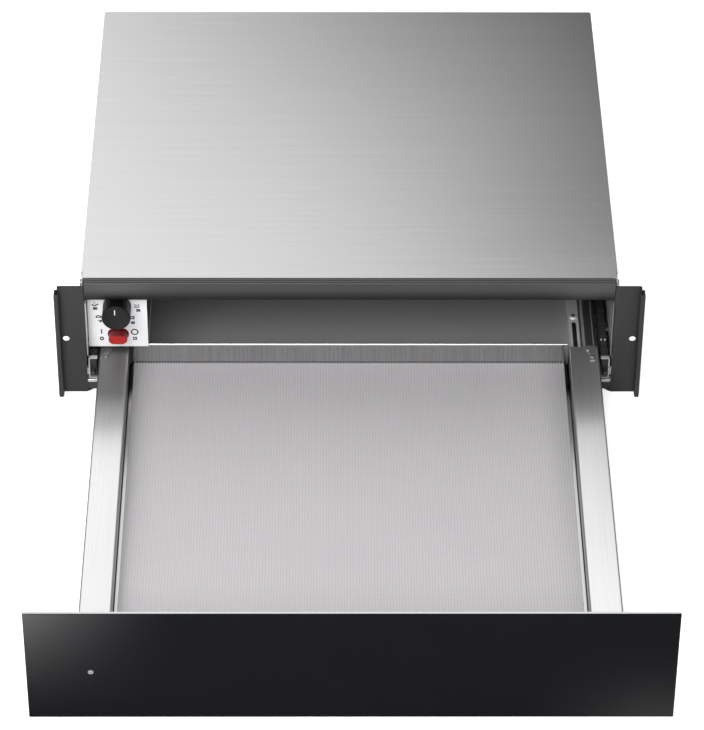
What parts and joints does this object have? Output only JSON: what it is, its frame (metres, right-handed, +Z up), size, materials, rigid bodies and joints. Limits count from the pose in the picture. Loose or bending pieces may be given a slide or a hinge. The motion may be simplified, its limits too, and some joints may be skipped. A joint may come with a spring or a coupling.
{
  "type": "built-in warming drawer",
  "caption": "Built-in warming drawer, open: sheet-metal case with cabinet brackets, black glass front, tray with mat on full-extension runners, fan heater under the cover",
  "frame": {"origin": "centre line of the case, in the plane of the cabinet's front, on the underside of the base plate", "axes": "+X to the right seen from the front, +Y into the cabinet, +Z up"},
  "size_m": [0.595, 0.9903, 0.14],
  "materials": {
    "cover_steel": "horizontally brushed stainless steel",
    "polished_steel": "satin to mirror polished stainless steel",
    "zinc_steel": "galvanised sheet steel",
    "dark_chassis": "dark grey coated sheet steel",
    "black_paint": "black satin powder coat",
    "trim_dark": "anthracite coated aluminium profile",
    "rail_dark": "dark oiled rolled steel",
    "black_glass": "black glass front, polished",
    "black_plastic": "black moulded plastic",
    "knob_plastic": "black satin plastic with a white pointer",
    "white_plate": "white coated plate with printed marks",
    "red_button": "translucent red plastic",
    "lens_grey": "grey translucent light guide",
    "mat_grey": "light grey ribbed non-slip mat",
    "white_plastic": "natural white plastic",
    "heater_metal": "dark heat-resistant metal sheath",
    "grey_cable": "grey cable sheath"
  },
  "bodies": {
    "chassis": {"base_plate": "dark_chassis", "right_side_wall": "zinc_steel", "left_side_wall": "zinc_steel", "rear_wall": "dark_chassis", "top_cover": "cover_steel", "cover_screws": "polished_steel", "front_trim": "trim_dark", "right_bracket": "black_paint", "left_bracket": "black_paint", "bracket_screws": "polished_steel", "chassis_rivets": "zinc_steel", "right_unit_clip": "polished_steel", "left_unit_clip": "polished_steel", "unit_screws": "zinc_steel", "right_push_unit": "black_plastic", "left_push_unit": "black_plastic", "right_fixed_channel": "zinc_steel", "left_fixed_channel": "zinc_steel", "right_adjusting_strip": "zinc_steel", "left_adjusting_strip": "zinc_steel", "control_plate": "white_plate", "control_housing": "black_plastic", "thermostat_body": "white_plastic", "switch_bezel": "red_button", "power_switch_body": "black_plastic", "heater_pan": "zinc_steel", "fan_guard": "zinc_steel", "heating_element": "heater_metal", "motor_bracket": "zinc_steel", "fan_motor": "heater_metal", "thermal_cutout": "black_plastic", "wire_looms": "grey_cable", "loom_clips": "black_plastic", "terminal_cover": "black_plastic", "cable_gland": "black_plastic", "terminal_block": "white_plastic"},
    "drawer": {"front_glass": "black_glass", "front_carrier": "zinc_steel", "indicator_lens": "lens_grey", "left_side_box": "polished_steel", "right_side_box": "polished_steel", "tray_floor": "polished_steel", "back_wall": "polished_steel", "grip_mat": "mat_grey", "rear_hooks": "zinc_steel", "drawer_screws": "polished_steel", "left_drawer_channel": "zinc_steel", "right_drawer_channel": "zinc_steel"},
    "left_middle": {"left_middle_rail": "rail_dark"},
    "right_middle": {"right_middle_rail": "rail_dark"},
    "left_lower_cage": {"left_lower_roller_cage": "white_plastic"},
    "right_lower_cage": {"right_lower_roller_cage": "white_plastic"},
    "left_upper_cage": {"left_upper_roller_cage": "white_plastic"},
    "right_upper_cage": {"right_upper_roller_cage": "white_plastic"},
    "knob": {"selector_knob": "knob_plastic", "knob_spindle": "zinc_steel"},
    "button": {"power_button": "red_button"},
    "rotor": {"fan_rotor": "zinc_steel"},
    "left_plunger": {"left_push_plunger": "black_plastic"},
    "right_plunger": {"right_push_plunger": "black_plastic"}
  },
  "joints": [
    {"name": "drawer_slide", "type": "slide", "parent": "chassis", "child": "drawer", "axis": [0, 1, 0], "range_m": [0, 0.459]},
    {"name": "left_middle_slide", "type": "slide", "parent": "chassis", "child": "left_middle", "axis": [0, 1, 0], "range_m": [0, 0.2295]},
    {"name": "right_middle_slide", "type": "slide", "parent": "chassis", "child": "right_middle", "axis": [0, 1, 0], "range_m": [0, 0.2295]},
    {"name": "left_lower_cage_slide", "type": "slide", "parent": "chassis", "child": "left_lower_cage", "axis": [0, 1, 0], "range_m": [0, 0.11475]},
    {"name": "right_lower_cage_slide", "type": "slide", "parent": "chassis", "child": "right_lower_cage", "axis": [0, 1, 0], "range_m": [0, 0.11475]},
    {"name": "left_upper_cage_slide", "type": "slide", "parent": "chassis", "child": "left_upper_cage", "axis": [0, 1, 0], "range_m": [0, 0.34425]},
    {"name": "right_upper_cage_slide", "type": "slide", "parent": "chassis", "child": "right_upper_cage", "axis": [0, 1, 0], "range_m": [0, 0.34425]},
    {"name": "knob_turn", "type": "hinge", "parent": "chassis", "child": "knob", "pos_m": [-0.2356, 0.014, 0.1005], "axis": [0, 1, 0], "range_deg": [-110, 110]},
    {"name": "power_press", "type": "slide", "parent": "chassis", "child": "button", "axis": [0, 1, 0], "range_m": [0, 0.003], "stiffness_N_per_m": 800},
    {"name": "fan_spin", "type": "hinge", "parent": "chassis", "child": "rotor", "pos_m": [0, 0.27, 0.1205], "axis": [0, 0, 1], "continuous": true},
    {"name": "left_plunger_press", "type": "slide", "parent": "chassis", "child": "left_plunger", "axis": [0, 1, 0], "range_m": [0, 0.0028], "stiffness_N_per_m": 500},
    {"name": "right_plunger_press", "type": "slide", "parent": "chassis", "child": "right_plunger", "axis": [0, 1, 0], "range_m": [0, 0.0028], "stiffness_N_per_m": 500}
  ],
  "couplings": [
    {"joint": "left_middle_slide", "follows": "drawer_slide", "ratio": 0.5},
    {"joint": "left_lower_cage_slide", "follows": "drawer_slide", "ratio": 0.25},
    {"joint": "left_upper_cage_slide", "follows": "drawer_slide", "ratio": 0.75},
    {"joint": "right_middle_slide", "follows": "drawer_slide", "ratio": 0.5},
    {"joint": "right_lower_cage_slide", "follows": "drawer_slide", "ratio": 0.25},
    {"joint": "right_upper_cage_slide", "follows": "drawer_slide", "ratio": 0.75}
  ]
}
